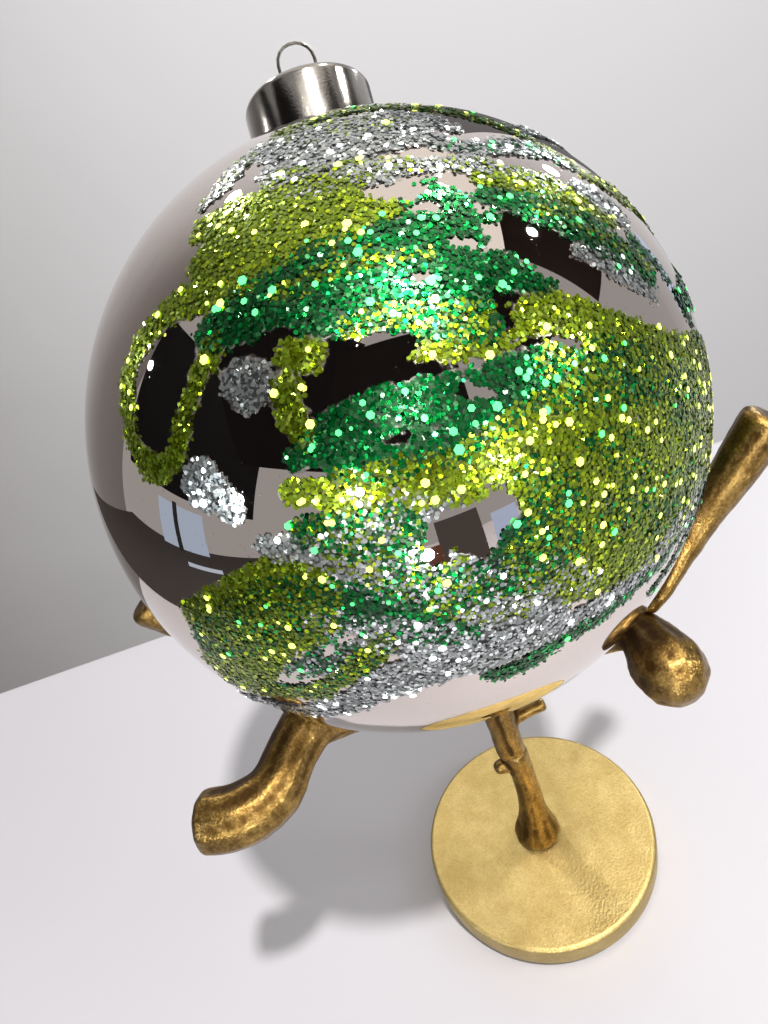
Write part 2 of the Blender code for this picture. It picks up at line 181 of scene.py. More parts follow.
def castGold(name, colours, dullness):
    finish = Finish(name, Metallic=1)
    hollow = finish.painted("hollow")
    blotch = finish.cloud(95, 3, 0.6)
    streak = finish.cloud(330, 4, 0.65, finish.place((1, 1, 0.22), (0.5, 0.35, 0)))
    speck = finish.cloud(1500, 2, 0.7)
    # painted shade: faces turned up, left and back are darkened by their direction
    facing = finish.node("ShaderNodeNewGeometry", out="Normal")
    paintedSideShade = finish.node("ShaderNodeVectorMath", {0: facing, 1: (-0.55, 0.25, 0.35)}, out="Value",
                         operation="DOT_PRODUCT")
    # darkening from hollow patina, random blotches and streaks, plus the painted side shade
    dirtAndShade = (hollow * 0.8 + blotch * 0.75 + streak * 0.4 + paintedSideShade * 0.35).between(0.42, 1.02)
    rub = (streak * 0.7 + speck * 0.55 - hollow * 0.5).between(0.45, 0.85)
    colour = finish.mix(rub, colours["middle"], colours["bright"])
    finish.feed("Base Color", finish.mix(dirtAndShade * 0.86, colour, colours["dark"]))
    finish.feed("Roughness", dullness + dirtAndShade * 0.16 + speck * 0.14 - rub * 0.08)
    grain = streak * 0.6 + speck * 0.3 + finish.cells(2100) * 0.22
    finish.bump(grain, 0.0004, 0.55)
    return finish.material


def discGold():
    finish = Finish("satin gold disc", Metallic=1)
    blotch = finish.cloud(130, 3, 0.6)
    grain = finish.cloud(1900, 3, 0.7)
    pits = finish.cells(1250)
    colour = finish.mix(blotch.between(0.3, 0.72), (0.37, 0.275, 0.105), (0.46, 0.355, 0.15))
    shade = grain.between(0.30, 0.62)
    finish.feed("Base Color", finish.mix(shade, finish.mix(0.5, colour, (0.22, 0.155, 0.05)), colour))
    finish.feed("Roughness", 0.36 + grain * 0.18)
    finish.bump(grain * 0.7 + pits * 0.5, 0.00022, 0.6)
    return finish.material


def nickel(name, dullness):
    finish = Finish(name, Metallic=1)
    smear = finish.cloud(160, 3, 0.6)
    spot = finish.cloud(2600, 2, 0.6)
    finish.feed("Base Color", finish.mix(smear, (0.29, 0.27, 0.25), (0.47, 0.45, 0.42)))
    finish.feed("Roughness", dullness + smear * 0.07 + spot * 0.05)
    finish.bump(spot, 0.00005, 0.35)
    return finish.material


def steel():
    finish = Finish("zinc steel", Metallic=1)
    ring = finish.cloud(900, 2, 0.6, finish.place((1, 1, 4)))
    finish.feed("Base Color", finish.mix(ring, (0.44, 0.45, 0.47), (0.62, 0.62, 0.60)))
    finish.feed("Roughness", 0.26 + ring * 0.22)
    finish.bump(ring, 0.00006, 0.5)
    return finish.material


def feltPile():
    finish = Finish("dark felt", Roughness=0.96)
    finish.shader.inputs["Sheen Weight"].default_value = 0.4
    fibre = finish.cloud(2400, 4, 0.7)
    finish.feed("Base Color", finish.mix(fibre, (0.012, 0.012, 0.013), (0.055, 0.052, 0.05)))
    finish.bump(fibre, 0.0003, 0.8)
    return finish.material


def mirrorAndGlue():
    # bare glass is a warm mirror; under the flakes it turns into tinted, grainy glue
    finish = Finish("mirrored glass")
    ragged = finish.cloud(420, 3, 0.6)
    edge = finish.painted("glueEdge")            # degrees from the line of the glue, minus inside
    glue = 1 - (edge + (ragged - 0.5) * 2.4).between(-0.35, 0.25)
    tint = finish.painted("glueTint", "Color")
    cell = finish.cells(1150, "Color")
    lit = finish.node("ShaderNodeSeparateColor", {0: cell})
    grains = lit.between(0.25, 0.95)
    crust = finish.mix(grains, finish.mix(0.62, tint, (0.0, 0.0, 0.0)), tint)
    dust = finish.cloud(1700, 2, 0.6).between(0.66, 0.74)
    bare = finish.mix(dust * 0.5, (0.70, 0.63, 0.59), (0.36, 0.31, 0.28))
    finish.feed("Base Color", finish.mix(glue, bare, crust))
    finish.feed("Metallic", 1 - glue * 0.6)
    finish.feed("Roughness", 0.012 + dust * 0.10 + glue * (0.26 + grains * 0.2))
    return finish.material


def flakeFoil(name, colour, dullness, metal, glow):
    # glow is emission: the flakes that glow are painted glints and painted sparkle, not lamps
    return Finish(name, Metallic=metal, Base_Color=(*colour, 1), Roughness=dullness, Coat_Weight=0.35,
                  Coat_Roughness=0.12, Emission_Color=(*colour, 1), Emission_Strength=glow).material


# shaping helpers


def deselectAll():
    if bpy.context.object and bpy.context.object.mode != "OBJECT":
        bpy.ops.object.mode_set(mode="OBJECT")
    bpy.ops.object.select_all(action="DESELECT")


def pick(piece):
    deselectAll()
    bpy.context.view_layer.objects.active = piece
    piece.select_set(True)
    return piece


def edit(piece, mode):
    # edit mode with nothing selected yet
    pick(piece)
    bpy.ops.object.mode_set(mode="EDIT")
    bpy.ops.mesh.select_mode(type=mode)
    bpy.ops.mesh.select_all(action="DESELECT")
    bpy.ops.object.mode_set(mode="OBJECT")


def chooseFaces(piece, test):
    edit(piece, "FACE")
    for face in piece.data.polygons:
        face.select = test(face.center, face.normal)
    bpy.ops.object.mode_set(mode="EDIT")


def chooseEdges(piece, test):
    edit(piece, "EDGE")
    points = piece.data.vertices
    for line in piece.data.edges:
        line.select = test(points[line.vertices[0]].co, points[line.vertices[1]].co)
    bpy.ops.object.mode_set(mode="EDIT")


def apply(piece, kind, **settings):
    pick(piece)
    step = piece.modifiers.new("step", kind)
    for label, value in settings.items():
        setattr(step, label, value)
    bpy.ops.object.modifier_apply(modifier=step.name)


def settle(piece, place=None):
    # puts the piece in its place through its mesh and leaves the object at the origin
    pick(piece)
    bpy.ops.object.transform_apply(location=True, rotation=True, scale=True)
    if place is not None:
        piece.data.transform(place)
    return piece


def smoothShade(piece, angle=35):
    pick(piece)
    bpy.ops.object.shade_smooth_by_angle(angle=radians(angle))


def finishWith(piece, *materials):
    piece.data.materials.clear()
    for made in materials:
        piece.data.materials.append(made)


def pointsOf(piece):
    places = np.empty(len(piece.data.vertices) * 3, np.float32)
    piece.data.vertices.foreach_get("co", places)
    return places.reshape(-1, 3).astype(float)


def normalsOf(piece):
    ways = np.empty(len(piece.data.vertices) * 3, np.float32)
    piece.data.vertices.foreach_get("normal", ways)
    return ways.reshape(-1, 3).astype(float)


def putPoints(piece, places):
    piece.data.vertices.foreach_set("co", places.astype(np.float32).ravel())
    piece.data.update()


# stand

turnJoint = next(joint for joint in frame["joints"] if joint["name"] == "globe_turn")
ballCentre = Vector(turnJoint["pos_m"])
polarAxis = Vector(turnJoint["axis"]).normalized()
acrossWay = Vector((0, 1, 0)).cross(polarAxis).normalized()
deepWay = polarAxis.cross(acrossWay)
seatPlace = Matrix.Translation(ballCentre) @ Matrix((acrossWay, deepWay, polarAxis)).transposed().to_4x4()

castPieces = {
    "voxel": 0.00048,
    "swell": 0.16 * mm,          # closes the hairline between two castings
    "lumps": ((85, 0.34 * mm), (260, 0.13 * mm), (800, 0.045 * mm)),
    "clearOfBall": 61.16 * mm,
    "nodes": {
        "lower_trunk": "lowerTrunk", "upper_trunk": "upperTrunk", "crown": "crownKnot",
        "arm_front_left": "frontLeftArm", "arm_right": "rightArm", "arm_spike": "risingBranch",
        "arm_left": "leftArm", "arm_rear": "rearArm",
    },
}


def hollows(piece):
    # how far each point lies below its neighbours: 0 on a bump and 1 in a crease
    places, ways = pointsOf(piece), normalsOf(piece)
    lines = np.empty(len(piece.data.edges) * 2, np.int32)
    piece.data.edges.foreach_get("vertices", lines)
    lines = lines.reshape(-1, 2)
    count = np.bincount(lines.ravel(), minlength=len(places))[:, None]
    soft = places.copy()
    for turn in range(14):
        total = np.zeros_like(soft)
        np.add.at(total, lines[:, 0], soft[lines[:, 1]])
        np.add.at(total, lines[:, 1], soft[lines[:, 0]])
        soft = total / np.maximum(count, 1)
    depth = ((soft - places) * ways).sum(1)
    share = np.clip(0.42 + depth / (0.22 * mm), 0, 1)
    made = piece.data.attributes.new("hollow", "FLOAT", "POINT")
    made.data.foreach_set("value", share.astype(np.float32))


def buildCasting(node, name, facts, made):
    piece = bpy.data.objects.new(name, frame["nodes"][node].data.copy())
    bpy.context.scene.collection.objects.link(piece)
    edit(piece, "VERT")
    bpy.ops.object.mode_set(mode="EDIT")
    bpy.ops.mesh.select_all(action="SELECT")
    bpy.ops.mesh.remove_doubles(threshold=0.00001)
    bpy.ops.object.mode_set(mode="OBJECT")
    apply(piece, "REMESH", mode="VOXEL", voxel_size=facts["voxel"])
    apply(piece, "SMOOTH", factor=0.5, iterations=9)
    places, ways = pointsOf(piece), normalsOf(piece)
    rise = np.full(len(places), facts["swell"])
    for scale, height in facts["lumps"]:
        rise += height * np.array([noise.noise(Vector(p) * scale) for p in places])
    if node == "lower_trunk":
        rise *= np.clip((places[:, 2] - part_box(node)[0].z) / (2 * mm), 0, 1)
    places += ways * rise[:, None]
    away = places - np.array(ballCentre)
    far = np.linalg.norm(away, axis=1)
    near = far < facts["clearOfBall"]
    places[near] = np.array(ballCentre) + away[near] / far[near, None] * facts["clearOfBall"]
    putPoints(piece, places)
    hollows(piece)
    finishWith(piece, made)
    pick(piece)
    bpy.ops.object.shade_smooth()
    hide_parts(node)
    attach(piece, "stand")


discFacts = {"sides": 160, "rim": 1.4 * mm, "rimSteps": 6, "line": 0.25 * mm, "bore": 6.8 * mm}


def narrower(share, rise=0.0):
    # the chosen face again, drawn in towards the upright axis and raised
    bpy.ops.mesh.extrude_region()
    bpy.ops.transform.resize(value=(share, share, 1), center_override=(0, 0, 0))
    bpy.ops.transform.translate(value=(0, 0, rise))


def buildDisc(facts, made):
    low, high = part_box("base_disc")
    radius = (high.x - low.x) / 2
    middle = (low + high) / 2
    deselectAll()
    bpy.ops.mesh.primitive_cylinder_add(vertices=facts["sides"], radius=radius, depth=high.z - low.z,
                                        location=middle)
    piece = settle(bpy.context.object)
    piece.name = "satinDisc"
    chooseEdges(piece, lambda a, b: abs(a.z - b.z) < 1e-6)
    bpy.ops.mesh.bevel(offset=facts["rim"], segments=facts["rimSteps"], profile=0.5)
    chooseFaces(piece, lambda centre, way: way.z < -0.999)     # counterbore for the bolt's head
    flat = radius - facts["rim"]
    narrower((flat - facts["line"]) / flat)
    narrower(facts["bore"] / (flat - facts["line"]))
    narrower(1, 4.6 * mm)
    chooseFaces(piece, lambda centre, way: way.z > 0.999 and centre.z > middle.z)
    narrower((flat - facts["line"]) / flat)                    # a narrow ring keeps the flat top flat
    bpy.ops.object.mode_set(mode="OBJECT")
    smoothShade(piece, 30)
    finishWith(piece, made)
    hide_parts("base_disc")
    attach(piece, "stand")


castGoldPlain = castGold("cast gold", castColours, 0.27)
for nodeName, pieceName in castPieces["nodes"].items():
    buildCasting(nodeName, pieceName, castPieces, castGoldPlain)
buildDisc(discFacts, discGold())
finishWith(frame["nodes"]["felt_pad"], feltPile())
steelMade = steel()
finishWith(frame["nodes"]["base_bolt"], steelMade)
finishWith(frame["nodes"]["base_washer"], steelMade)
print("stand built")

# glitter layout
# Stations are (longitude, latitude, half width) in degrees on the ball, longitude 0 at the
# front, growing to the right, latitude 90 at the neck. A stroke is (colour, cover, stations).

strokes = (
    # upper left lime patch and the silver-lime above it
    ("lime", 1.3, ((-26, 31, 2.5), (-19, 30, 4.5), (-12, 28, 5.5), (-5, 26, 4.5), (1, 24.5, 2.5))),
    ("lime", 1.3, ((-25, 24, 4), (-18, 24, 5), (-10, 24, 4), (-4, 24, 3))),
    ("lime", 1.2, ((-30, 20, 2.5), (-24, 20, 3.5), (-17, 21.5, 3))),
    ("lime", 0.9, ((-13, 34, 3), (-7, 32, 4), (0, 31, 2))),
    ("silver", 0.9, ((-13, 36, 3.5), (-7, 33, 4.5), (-1, 31, 3), (3, 27, 1.4))),
    ("silver", 1.4, ((-17, 46, 2), (-10, 43, 5), (-1, 42, 6), (8, 42, 5.5), (15, 41, 3.5), (19, 38, 1.5))),
    ("silver", 1.3, ((-8, 36, 3), (2, 36.5, 2), (9, 37, 3), (15, 36, 1.5))),
    ("silver", 1.3, ((-28, 36.5, 1), (-24, 40, 1.7), (-20, 44, 1.8), (-16, 46.5, 2))),
    ("lime", 0.25, ((-28, 36.5, 1), (-24, 40, 1.7), (-20, 44, 1.8))),
    ("lime", 0.35, ((-14, 47, 2), (-4, 45, 4), (8, 43, 3))),
    ("lime", 1.3, ((-13, 50, 1.2), (0, 52, 1.3), (12, 51, 1.3), (20, 48, 1.2), (27, 44, 1.1), (33, 38, 1.1),
                   (38, 30.5, 1.1), (40, 27, 0.7))),
    ("emerald", 0.6, ((-4, 51, 1.1), (12, 51, 1.2), (27, 44, 1.2), (35, 36, 1.2))),
    # silver-green bands on the upper right
    ("silver", 1.2, ((-2, 31, 1.5), (6, 30.4, 1.6), (13, 29.6, 1.7), (19, 28, 2))),
    ("lime", 0.4, ((0, 31, 1.6), (8, 30.4, 1.6), (15, 29.4, 1.7), (19, 28, 2))),
    ("silver", 1.2, ((13, 34.5, 1.5), (20, 32.7, 2), (27, 33, 2.2), (33, 32, 1.7), (38, 29, 1))),
    ("emerald", 0.4, ((14, 34, 1.4), (22, 32.2, 1.6), (30, 32.6, 1.8), (38, 29, 1.1))),
    ("silver", 1.3, ((35, 23.5, 2.2), (38, 21, 3.2), (41, 18.5, 2.2))),
    ("lime", 1.2, ((17, 26, 1.6), (22, 25, 2.6), (27, 23.6, 2.6), (31, 21.5, 2), (36, 17.5, 1.6))),
    ("silver", 0.35, ((17, 27, 1.5), (23, 26.5, 1.6), (29, 24, 1.6))),
    ("emerald", 1.2, ((15.5, 22.5, 1.2), (21, 20.5, 2.6), (27, 17.5, 3.2), (33, 13.5, 3.4), (39, 9.5, 2.4))),
    ("lime", 0.5, ((24, 20, 2), (32, 15, 2), (40, 10, 1.6))),
    ("silver", 0.7, ((26, 12.8, 1.2), (30, 11, 2), (35, 8, 2.2), (38, 5.5, 1.2))),
    ("emerald", 1.0, ((40, 14, 1.2), (45, 10, 1.0), (49, 5, 1.0), (53, -2, 1.4))),
    # lime loop on the left
    ("lime", 1.3, ((-30, 20.5, 2.4), (-36, 19, 2), (-41, 15.5, 1.8), (-44, 10.5, 1.7), (-44, 5, 1.6),
                   (-41.5, 0.5, 1.8), (-37.5, -1, 1.8), (-34, 2.5, 1.5), (-30.8, 7, 1.5), (-27.5, 10.5, 1.6),
                   (-25.5, 13, 1.6))),
    # emerald band across the front
    ("emerald", 1.35, ((-26.5, 14.5, 2.2), (-22, 15, 3.6), (-15, 16, 4.6), (-8, 16, 5.4), (0, 16.5, 5.2),
                       (7, 17, 4.4), (12, 18, 2.4), (15, 19, 1))),
    ("emerald", 1.3, ((-12, 11.5, 3), (-5, 11, 3), (2, 10.5, 3.2), (8, 10.5, 3.6), (13, 11.5, 3),
                      (18, 9.5, 2))),
    ("emerald", 1.2, ((4, 24.5, 1), (8, 25.2, 1.4), (10.5, 23, 1.6), (11, 20.5, 2))),
    ("lime", 0.9, ((-16, 15.5, 1), (-12, 16.3, 1.6), (-6, 17.4, 1.6), (0, 16.4, 1), (4, 15.8, 0.8))),
    ("lime", 0.55, ((-7, 9, 2), (0, 8, 2.4), (7, 6.8, 2.2), (12, 6, 1.6))),
    ("emerald", 0.8, ((-1, 7.5, 2), (4, 6, 2.6), (9, 5, 2.2))),
    ("lime", 0.7, ((0, 4, 1.6), (5, 3.4, 2), (10, 3, 1.6))),
    # round dabs
    ("lime", 1.3, ((-14.5, 8, 2.4), (-13.2, 7.4, 2.3))),
    ("silver", 1.6, ((-22, 6.2, 3.1), (-21.6, 6, 3.1))),
    ("silver", 1.6, ((-32.8, -4, 3.1), (-31.6, -5, 3.1), (-29.5, -8, 1.8))),
    ("lime", 1.2, ((-17, 4, 1.8), (-17.4, 1, 2), (-16.5, -2, 1.8))),
    # broad lime field with emerald in it
    ("emerald", 1.3, ((-18, -4.4, 1.6), (-12, -3.4, 3.2), (-5, -2, 3), (3, -2.6, 3), (10, -2.4, 3.2),
                      (18, -3.6, 3.6), (25, -5.5, 2.6), (31, -8, 1.4))),
    ("emerald", 0.9, ((-14, -7.2, 1.6), (-7, -7.4, 2.4), (1, -7.8, 2.4), (8, -6, 2))),
    ("lime", 1.2, ((-19.5, -8.4, 1.6), (-12, -10, 3), (-4, -11, 3.2), (4, -11.4, 3.8), (12, -9, 4.6),
                   (20, -6, 4))),
    ("lime", 1.25, ((13, 4.6, 1.8), (19, 5, 2.8), (26, 1.6, 3), (34, -1, 2.8), (42, -3, 3), (50, -4, 4))),
    ("lime", 1.3, ((16, -1.5, 2.4), (23, -7, 6), (31, -11, 9), (39, -12, 10.5), (47, -12, 11),
                   (54, -12, 11))),
    ("lime", 1.25, ((10, -14, 3), (17, -19, 7), (25, -23, 9), (33, -24, 9), (41, -22, 7.5), (49, -18, 6))),
    ("lime", 0.8, ((8, -24, 3), (15, -29, 4.5), (22, -32, 3.2), (29, -31.5, 2.4))),
    ("emerald", 0.95, ((10, -13.5, 2), (14, -18, 3.6), (13, -24, 3.4), (8, -28, 2.6))),
    ("emerald", 0.6, ((20, -12, 2), (26, -15, 3), (30, -18, 2.4))),
    ("emerald", 0.75, ((24, -2, 3), (33, -5, 4), (42, -10, 5), (48, -17, 5))),
    ("emerald", 0.6, ((22, -22, 3), (32, -24, 4), (42, -22, 4))),
    # sparse mixture over the lower front
    ("emerald", 0.75, ((-20, -14, 2.6), (-13, -15.5, 3.4), (-8, -17, 3), (-8, -23, 4), (-4, -27, 3.6),
                       (3, -26, 3), (8, -22, 3))),
    ("silver", 0.5, ((-26, -14.5, 1.5), (-19, -17, 3.4), (-12, -20, 5), (-5, -25, 4.6), (3, -28, 4.2),
                     (11, -29, 3), (19, -31, 2.6))),
    ("lime", 0.35, ((-20, -12.5, 2), (-14, -17, 4), (-7, -22, 5), (-2, -28, 4), (6, -31, 3))),
    ("silver", 0.35, ((-13, -12, 2), (-6, -14.5, 2), (-1, -15, 1.4))),
    ("emerald", 0.55, ((-24, -22, 3), (-17, -25, 3.6), (-10, -30, 3.4), (-3, -34, 2.4))),
    ("emerald", 0.4, ((-36, -35, 2), (-29, -33.5, 2.6), (-21, -30, 2.6))),
    ("silver", 0.3, ((-34, -35.5, 2), (-27, -33.5, 2.6), (-19, -29.5, 2.6))),
    ("silver", 0.75, ((-24, -26, 2), (-15, -31, 3.4), (-6, -34, 3.4), (3, -34, 3.4), (12, -34.5, 2.4))),
    # lower left patch, towards the limb
    ("lime", 1.15, ((-47, -22.5, 2.6), (-41, -23, 4.4), (-34, -22, 5), (-27, -20, 4.4), (-22, -22, 4))),
    ("lime", 1.25, ((-54, -33, 3.4), (-46, -31.5, 6), (-38, -29, 4.6), (-30, -27, 4), (-23, -26, 3))),
    ("emerald", 0.7, ((-50, -28, 3), (-42, -26, 4.6), (-34, -25, 5), (-26, -23, 4.6), (-19, -25, 3))),
    ("lime", 1.3, ((-58, -37, 2), (-50, -38, 2.4), (-41, -39.8, 1.7), (-33, -39.6, 1.6), (-26, -37.4, 1.7),
                   (-20, -34.4, 1.8), (-15, -31.5, 1.6))),
    ("emerald", 0.5, ((-46, -38, 1.8), (-34, -39.6, 1.6), (-24, -36.6, 1.8), (-16, -32, 1.6))),
    # the lower silver band and the emerald line below it
    ("silver", 1.35, ((-58, -42, 1.2), (-48, -45.5, 2), (-38, -46, 2.6), (-28, -43.6, 2.8), (-18, -40.6, 3.4),
                      (-8, -39.6, 3.8), (2, -39.2, 3.4), (11, -38.8, 2.4), (20, -37.6, 2), (29, -35.2, 1.9),
                      (38, -31, 1.8), (46, -26, 1.6), (52, -20, 1.3), (60, -15, 1.4))),
    ("emerald", 1.5, ((0.4, -44.6, 1), (4, -45.4, 2.2), (10, -43.6, 2.1), (18, -41, 1.6), (26, -39, 1.4),
                      (34, -36, 1.2), (42, -32.4, 1), (49, -27.6, 0.9), (55, -22, 1.1))),
    ("emerald", 1.3, ((42, -40, 0.5), (47, -36.5, 0.9), (53, -30, 1), (60, -24, 1.2))),
    # round the back
    ("lime", 1.2, ((52, -10, 11), (66, -12, 10), (82, -8, 8), (100, -4, 6), (122, -6, 7), (146, -10, 8),
                   (170, -8, 6), (190, -4, 4), (208, -2, 1.5))),
    ("emerald", 1.1, ((50, 6, 1.6), (64, 9, 4), (80, 13, 5), (98, 15, 4.4), (118, 12, 5), (140, 7, 4),
                      (162, 6, 5), (186, 9, 4), (206, 12, 1.4))),
    ("emerald", 0.8, ((62, -22, 2), (80, -20, 4), (100, -15, 4), (124, -16, 4.6), (150, -22, 4),
                      (176, -20, 3))),
    ("lime", 1.1, ((40, 27, 1), (56, 24, 3.4), (74, 26, 5), (96, 30, 5.4), (118, 30, 4), (142, 25, 4.4),
                   (166, 24, 5), (190, 28, 3), (206, 31, 1.2))),
    ("silver", 1.2, ((38, 40, 1.6), (58, 42, 3.6), (82, 45, 4.4), (108, 42, 3.4), (134, 44, 4), (160, 46, 4.6),
                     (188, 44, 3), (212, 42, 1.4))),
    ("silver", 1.2, ((58, -17, 1.4), (76, -30, 3), (96, -34, 4.4), (120, -36, 4), (146, -38, 4.4),
                     (172, -35, 3.6), (200, -37, 3), (226, -42, 1.6), (300, -43, 0.8))),
    ("lime", 1.0, ((190, -24, 2), (210, -26, 4), (232, -28, 5), (252, -30, 4), (276, -33, 2))),
    ("silver", 0.5, ((70, 3, 2), (92, 6, 3), (116, 3, 3), (138, -1, 3))),
)

# glass left bare inside the strokes: (longitude, latitude, half width) lines again
gaps = (
    ((-6.4, -5.6, 0.9), (-4.6, -5.4, 1.0)),
    ((0, 27, 1.2), (4, 26, 2.1), (6.6, 25.4, 1.3)),
    ((-4.6, -20.5, 1.9), (-2.4, -17.6, 2.1), (1.6, -17.6, 1.8)),
    ((4, -14.2, 0.7), (5.4, -17.5, 1.2), (6, -14.4, 0.9)),
    ((-35.5, -35, 0.6), (-33.0, -35.2, 0.8)),
    ((-26, -32.2, 0.7), (-22.5, -30.6, 1.0), (-19.6, -29.8, 0.7)),
    ((3.8, -1.8, 1.1), (6.8, -3, 1.2)),
    ((0.4, 13.2, 0.9), (3.8, 12.8, 1)),
    ((8.2, 16.6, 1.2), (10.6, 16.2, 1.3)),
    ((11.2, 8.6, 1.1), (11.6, 4.6, 1.3)),
    ((13.5, 17.6, 1.5), (17.5, 14.4, 2.4), (23, 9.8, 2.8), (29, 6.2, 2.6), (35, 3.8, 2), (39.5, 2, 1)),
    ((-10, 5.6, 1.6), (-5, 5.4, 1.9), (-1.4, 5, 1.4)),
    ((27, -9.5, 0.5), (29, -10.6, 0.7)),
    ((36, -14, 0.4), (38, -16.5, 0.5)),
    ((18, -20.4, 0.4), (22, -20.8, 0.6)),
)

glueColours = {
    "lime": (0.20, 0.27, 0.008),
    "emerald": (0.0, 0.10, 0.022),
    "silver": (0.28, 0.29, 0.285),
}


def onBall(longitude, latitude):
    around, rise = np.radians(longitude), np.radians(latitude)
    return np.stack([np.cos(rise) * np.sin(around), -np.cos(rise) * np.cos(around), np.sin(rise)], -1)


def distanceFrom(ways, stations):
    # degrees from each direction to the edge of a stroke, less than 0 inside it
    nodes = np.array([onBall(s[0], s[1]) for s in stations])
    widths = [s[2] for s in stations]
    best = np.full(len(ways), 180.0)
    for here, there, wide, wideNext in zip(nodes, nodes[1:], widths, widths[1:]):
        step = there - here
        share = np.clip(((ways - here) @ step) / max(step @ step, 1e-12), 0, 1)
        spot = here + share[:, None] * step
        spot /= np.linalg.norm(spot, axis=1)[:, None]
        apart = np.degrees(2 * np.arcsin(np.clip(np.linalg.norm(ways - spot, axis=1) / 2, 0, 1)))
        best = np.minimum(best, apart - (wide + (wideNext - wide) * share))
    return best


def softened(stations):
    # more stations along the same line, so that it bends instead of breaking
    ends = [stations[0], *stations, stations[-1]]
    line = []
    for a, b, c, d in zip(ends, ends[1:], ends[2:], ends[3:]):
        for t in (0, 0.34, 0.67):
            line.append(tuple(0.5 * (2 * q + (r - p) * t + (2 * p - 5 * q + 4 * r - s) * t * t
                                     + (3 * q - p - 3 * r + s) * t ** 3)
                              for p, q, r, s in zip(a, b, c, d)))
    return line + [stations[-1]]


def layout(ways):
    # for each direction: the glue's edge in degrees, and how much of each colour lies there
    wobble = np.array([noise.noise(Vector(w) * 11) * 0.9 + noise.noise(Vector(w) * 34) * 0.55
                       for w in ways])
    edge = np.full(len(ways), 60.0)
    cover = {"lime": np.zeros(len(ways)), "emerald": np.zeros(len(ways)), "silver": np.zeros(len(ways))}
    for colour, amount, stations in strokes:
        away = distanceFrom(ways, softened(stations)) + wobble
        inside = np.clip(0.5 - away / 0.9, 0, 1)
        cover[colour] = cover[colour] + amount * inside
        edge = np.minimum(edge, away + (0.8 if amount < 0.5 else 0))
    for stations in gaps:
        away = distanceFrom(ways, softened(stations)) + wobble * 0.7
        edge = np.maximum(edge, -away)
    bare = np.clip(edge / 0.5, 0, 1)
    for colour in cover:
        cover[colour] = cover[colour] * (1 - bare)
    return edge, cover


# ornament

ballFacts = {
    "radius": 60 * mm,
    "neckRadius": 11 * mm,
    "neckTop": 69.4 * mm,
    "round": 360,
    "rings": 190,
}


def buildBall(facts, made):
    deselectAll()
    bpy.ops.mesh.primitive_uv_sphere_add(segments=facts["round"], ring_count=facts["rings"],
                                         radius=facts["radius"])
    piece = bpy.context.object
    piece.name = "mirrorBall"
    shoulder = (facts["radius"] ** 2 - facts["neckRadius"] ** 2) ** 0.5
    edit(piece, "VERT")
    bpy.ops.object.mode_set(mode="EDIT")
    bpy.ops.mesh.select_all(action="SELECT")
    bpy.ops.mesh.bisect(plane_co=(0, 0, shoulder), plane_no=(0, 0, 1), clear_outer=True)
    bpy.ops.object.mode_set(mode="OBJECT")
    chooseEdges(piece, lambda a, b: min(a.z, b.z) > shoulder - 1e-6)
    rise = facts["neckTop"] - shoulder
    bpy.ops.mesh.extrude_edges_move(TRANSFORM_OT_translate={"value": (0, 0, rise)})
    bpy.ops.mesh.extrude_edges_move()
    bpy.ops.transform.resize(value=(0.925, 0.925, 1), center_override=(0, 0, facts["neckTop"]))
    bpy.ops.mesh.extrude_edges_move(TRANSFORM_OT_translate={"value": (0, 0, -8 * mm)})
    bpy.ops.mesh.edge_face_add()
    bpy.ops.object.mode_set(mode="OBJECT")
    places = pointsOf(piece)
    edge, cover = layout(places / np.linalg.norm(places, axis=1)[:, None])
    total = sum(cover.values()) + 1e-6
    tint = sum(cover[c][:, None] * np.array(glueColours[c]) for c in cover) / total[:, None]
    bare = total < 0.01
    tint[bare] = 0.12
    edge[places[:, 2] > shoulder - 1e-4] = 60
    glueEdge = piece.data.attributes.new("glueEdge", "FLOAT", "POINT")
    glueEdge.data.foreach_set("value", edge.astype(np.float32))
    colours = np.concatenate([tint, np.ones((len(tint), 1))], 1).astype(np.float32)
    glueTint = piece.data.attributes.new("glueTint", "FLOAT_COLOR", "POINT")
    glueTint.data.foreach_set("color", colours.ravel())
    settle(piece, seatPlace)
    finishWith(piece, made)
    smoothShade(piece, 40)
    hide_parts("glass_globe")
    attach(piece, "globe")


flakeFacts = {
    "perSquareMm": 5.6,           # candidates, thinned out by the strokes' cover
    "reach": 0.34 * mm,           # middle of a flake to its corner
    "sizes": (0.66, 1.15),
    "tilt": (4.0, 19.0),          # degrees, one standard deviation, for most flakes and for the proud ones
    "proud": 0.30,                # share of flakes that stand up
    "tiltMost": 50.0,
    "low": 60.14 * mm,
    "high": 60.36 * mm,
    "most": 61.0 * mm,            # nothing stands past this
    "strayShare": 0.05,           # flakes that missed the glue
    "strayReach": 2.2,            # degrees past the glue's edge
    "tints": (0.48, 0.37, 0.142, 0.008),
    "glint": 3,                   # the tint that glints: a painted glint that glows by emission
    "glintSizes": (1.2, 1.95),
    "glintLift": 0.13 * mm,
    "glintLean": 0.3,
    "radius": ballFacts["radius"],
    "seed": 20417,
}
